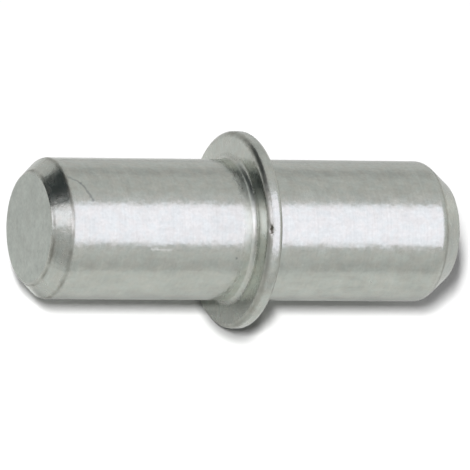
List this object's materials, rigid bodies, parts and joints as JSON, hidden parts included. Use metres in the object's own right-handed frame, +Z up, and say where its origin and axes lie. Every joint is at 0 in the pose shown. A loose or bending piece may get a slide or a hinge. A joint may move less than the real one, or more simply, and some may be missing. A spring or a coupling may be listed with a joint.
{
  "type": "shelf support pin",
  "caption": "Zinc-plated steel shelf support pin with a thin collar: the plug pushes into a bored hole in a cabinet side until the collar seats, and the shelf rests on the peg.",
  "frame": {"origin": "on the pin's axis, in the collar face that seats on the cabinet side", "axes": "+X along the pin, into the panel, so that the plug is at +X and the peg at -X; +Z up, against the load of the shelf"},
  "size_m": [0.016, 0.007, 0.007],
  "materials": {
    "zinc_plating": "bright zinc plating on steel, with faint marks around the shanks"
  },
  "bodies": {
    "root": {"support_pin": "zinc_plating"}
  },
  "joints": []
}
